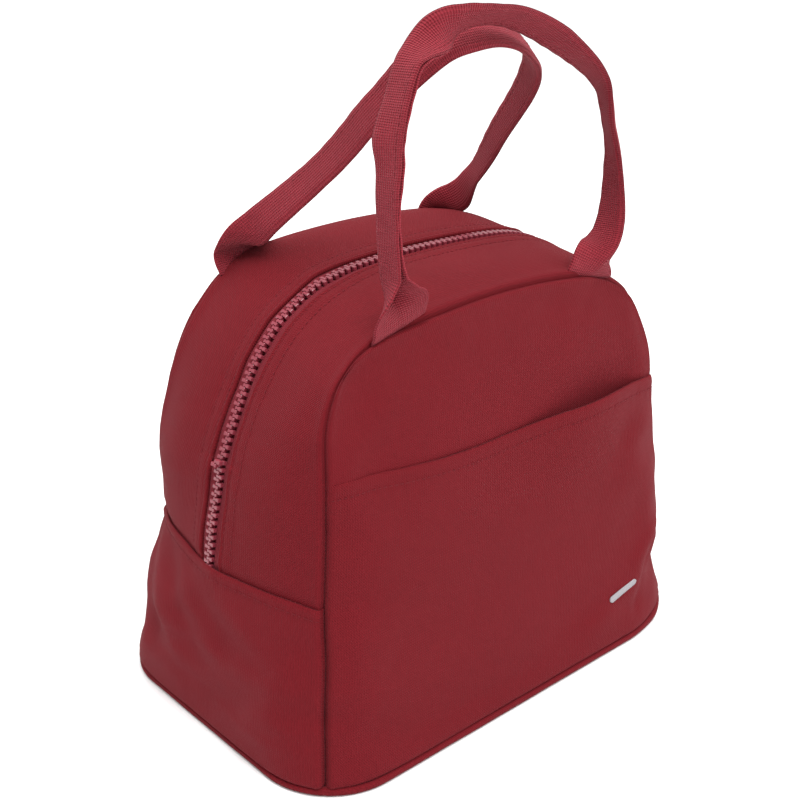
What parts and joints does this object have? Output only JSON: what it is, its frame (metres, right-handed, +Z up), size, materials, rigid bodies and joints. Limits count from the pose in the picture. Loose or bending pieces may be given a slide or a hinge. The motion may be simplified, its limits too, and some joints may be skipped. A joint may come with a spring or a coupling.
{
  "type": "insulated lunch bag",
  "caption": "Soft insulated lunch bag with an arched zip-over top, front slip pocket, flared flat base and webbing carry handles.",
  "frame": {"origin": "on the ground under the middle of the base", "axes": "+Z up, the pocket faces -Y, +X to the right when looking at the pocket"},
  "size_m": [0.2998, 0.192, 0.3547],
  "materials": {
    "body_cloth": "burgundy twill weave polyester",
    "webbing": "burgundy ribbed webbing",
    "zip_tape": "burgundy woven tape",
    "zip_teeth": "moulded acetal, satin gloss",
    "zip_metal": "burgundy lacquered die-cast",
    "foam": "closed-cell insulating foam",
    "lining": "silver heat-reflecting liner film",
    "binding": "woven edge binding",
    "board": "stiffening sheet",
    "print": "silver transfer print, plain bar"
  },
  "bodies": {
    "tub": {"base_panel": "body_cloth", "base_board": "board", "base_foam": "foam", "base_lining": "lining", "side_panel_left": "body_cloth", "side_panel_right": "body_cloth", "side_foam_left": "foam", "side_foam_right": "foam", "side_lining_left": "lining", "side_lining_right": "lining", "front_panel_lower": "body_cloth", "front_foam_lower": "foam", "front_lining_lower": "lining", "back_panel_lower": "body_cloth", "back_foam_lower": "foam", "back_lining_lower": "lining", "pocket_lower": "body_cloth", "label_print": "print", "zipper_end_tapes": "zip_tape", "zipper_end_teeth": "zip_teeth", "zipper_top_stops": "zip_teeth", "zipper_bottom_stop": "zip_teeth"},
    "front_half": {"gusset_front": "body_cloth", "gusset_foam_front": "foam", "gusset_lining_front": "lining", "front_panel_upper": "body_cloth", "front_foam_upper": "foam", "front_lining_upper": "lining", "seam_binding_front": "binding", "pocket_upper": "body_cloth", "zipper_tape_front": "zip_tape", "zipper_teeth_front": "zip_teeth", "handle_anchors_front": "webbing"},
    "back_half": {"gusset_back": "body_cloth", "gusset_foam_back": "foam", "gusset_lining_back": "lining", "back_panel_upper": "body_cloth", "back_foam_upper": "foam", "back_lining_upper": "lining", "seam_binding_back": "binding", "zipper_tape_back": "zip_tape", "zipper_teeth_back": "zip_teeth", "handle_anchors_back": "webbing"},
    "handle_front": {"handle_front": "webbing"},
    "handle_back": {"handle_back": "webbing"},
    "slider": {"slider_body": "zip_metal", "slider_bridge": "zip_metal"},
    "pull": {"pull_tab": "zip_metal"}
  },
  "joints": [
    {"name": "front_open", "type": "hinge", "parent": "tub", "child": "front_half", "pos_m": [0, -0.0842, 0.096], "axis": [1, 0, 0], "range_deg": [0, 25], "stiffness_Nm_per_rad": 1.5, "deforming": ["zipper_teeth_front", "zipper_tape_front"]},
    {"name": "back_open", "type": "hinge", "parent": "tub", "child": "back_half", "pos_m": [0, 0.0831, 0.096], "axis": [-1, 0, 0], "range_deg": [0, 25], "stiffness_Nm_per_rad": 1.5, "deforming": ["zipper_teeth_back", "zipper_tape_back"]},
    {"name": "slider_slide", "type": "slide", "parent": "tub", "child": "slider", "axis": [0.0837, 0, -0.9965], "range_m": [-0.03, 0], "deforming": ["zipper_teeth_front", "zipper_teeth_back", "zipper_end_teeth"]},
    {"name": "pull_swing", "type": "hinge", "parent": "slider", "child": "pull", "pos_m": [0.14345, 0, 0.10783], "axis": [0, -1, 0], "range_deg": [0, 165]},
    {"name": "handle_front_flop", "type": "hinge", "parent": "front_half", "child": "handle_front", "pos_m": [0, -0.0627, 0.226], "axis": [1, 0, 0], "range_deg": [0, 135]},
    {"name": "handle_back_flop", "type": "hinge", "parent": "back_half", "child": "handle_back", "pos_m": [0, 0.0608, 0.226], "axis": [-1, 0, 0], "range_deg": [0, 165]}
  ]
}
